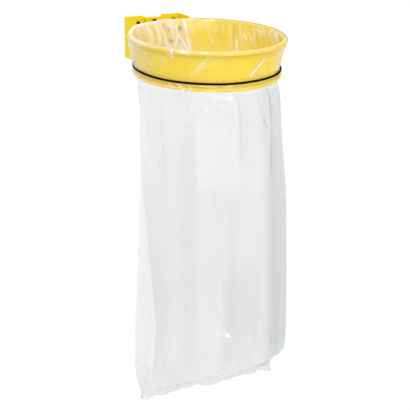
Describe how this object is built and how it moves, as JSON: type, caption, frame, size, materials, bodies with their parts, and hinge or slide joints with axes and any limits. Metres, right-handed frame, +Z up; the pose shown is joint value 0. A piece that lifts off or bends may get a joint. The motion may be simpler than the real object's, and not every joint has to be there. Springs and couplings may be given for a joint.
{
  "type": "wall-mounted plastic bag holder",
  "caption": "Wall bracket with a hooked-on steel ring that holds an open plastic sack, its rim folded over and held by an elastic cord.",
  "frame": {"origin": "middle of the wall plate's back face, on the wall", "axes": "+Y into the wall, +Z up, +X to the right seen from the room; the ring and the sack stand out towards -Y"},
  "size_m": [0.4026, 0.5262, 0.9691],
  "materials": {
    "yellow_coat": "satin",
    "black_screw": "satin",
    "zinc_steel": "satin",
    "black_elastic": "matte",
    "film": "gloss"
  },
  "bodies": {
    "bracket": {"wall_plate": "yellow_coat", "hook_bridge": "yellow_coat", "wall_screw_upper_left": "black_screw", "wall_screw_lower_left": "black_screw", "wall_screw_upper_right": "black_screw", "wall_screw_lower_right": "black_screw", "bridge_screw_upper_left": "black_screw", "bridge_screw_lower_left": "black_screw", "bridge_screw_upper_right": "black_screw", "bridge_screw_lower_right": "black_screw"},
    "ring": {"ring_arm": "yellow_coat", "ring_band": "yellow_coat", "ring_bolt_upper_left": "zinc_steel", "ring_bolt_lower_left": "zinc_steel", "ring_bolt_upper_right": "zinc_steel", "ring_bolt_lower_right": "zinc_steel", "ring_washer_upper_left": "zinc_steel", "ring_washer_lower_left": "zinc_steel", "ring_washer_upper_right": "zinc_steel", "ring_washer_lower_right": "zinc_steel", "ring_nut_upper_left": "zinc_steel", "ring_nut_lower_left": "zinc_steel", "ring_nut_upper_right": "zinc_steel", "ring_nut_lower_right": "zinc_steel", "bag": "film"},
    "lock_screw": {"lock_screw": "black_screw"},
    "elastic": {"elastic_cord": "black_elastic"}
  },
  "joints": [
    {"name": "ring_lift", "type": "slide", "parent": "bracket", "child": "ring", "axis": [0, 0, 1], "range_m": [0, 0.065]},
    {"name": "lock_screw_turn", "type": "hinge", "parent": "ring", "child": "lock_screw", "pos_m": [0, -0.0183, 0.0415], "axis": [0, -1, 0], "continuous": true},
    {"name": "elastic_slide", "type": "slide", "parent": "ring", "child": "elastic", "axis": [0, 0.0628, -0.998], "range_m": [0, 0.045], "deforming": ["elastic_cord"]}
  ]
}
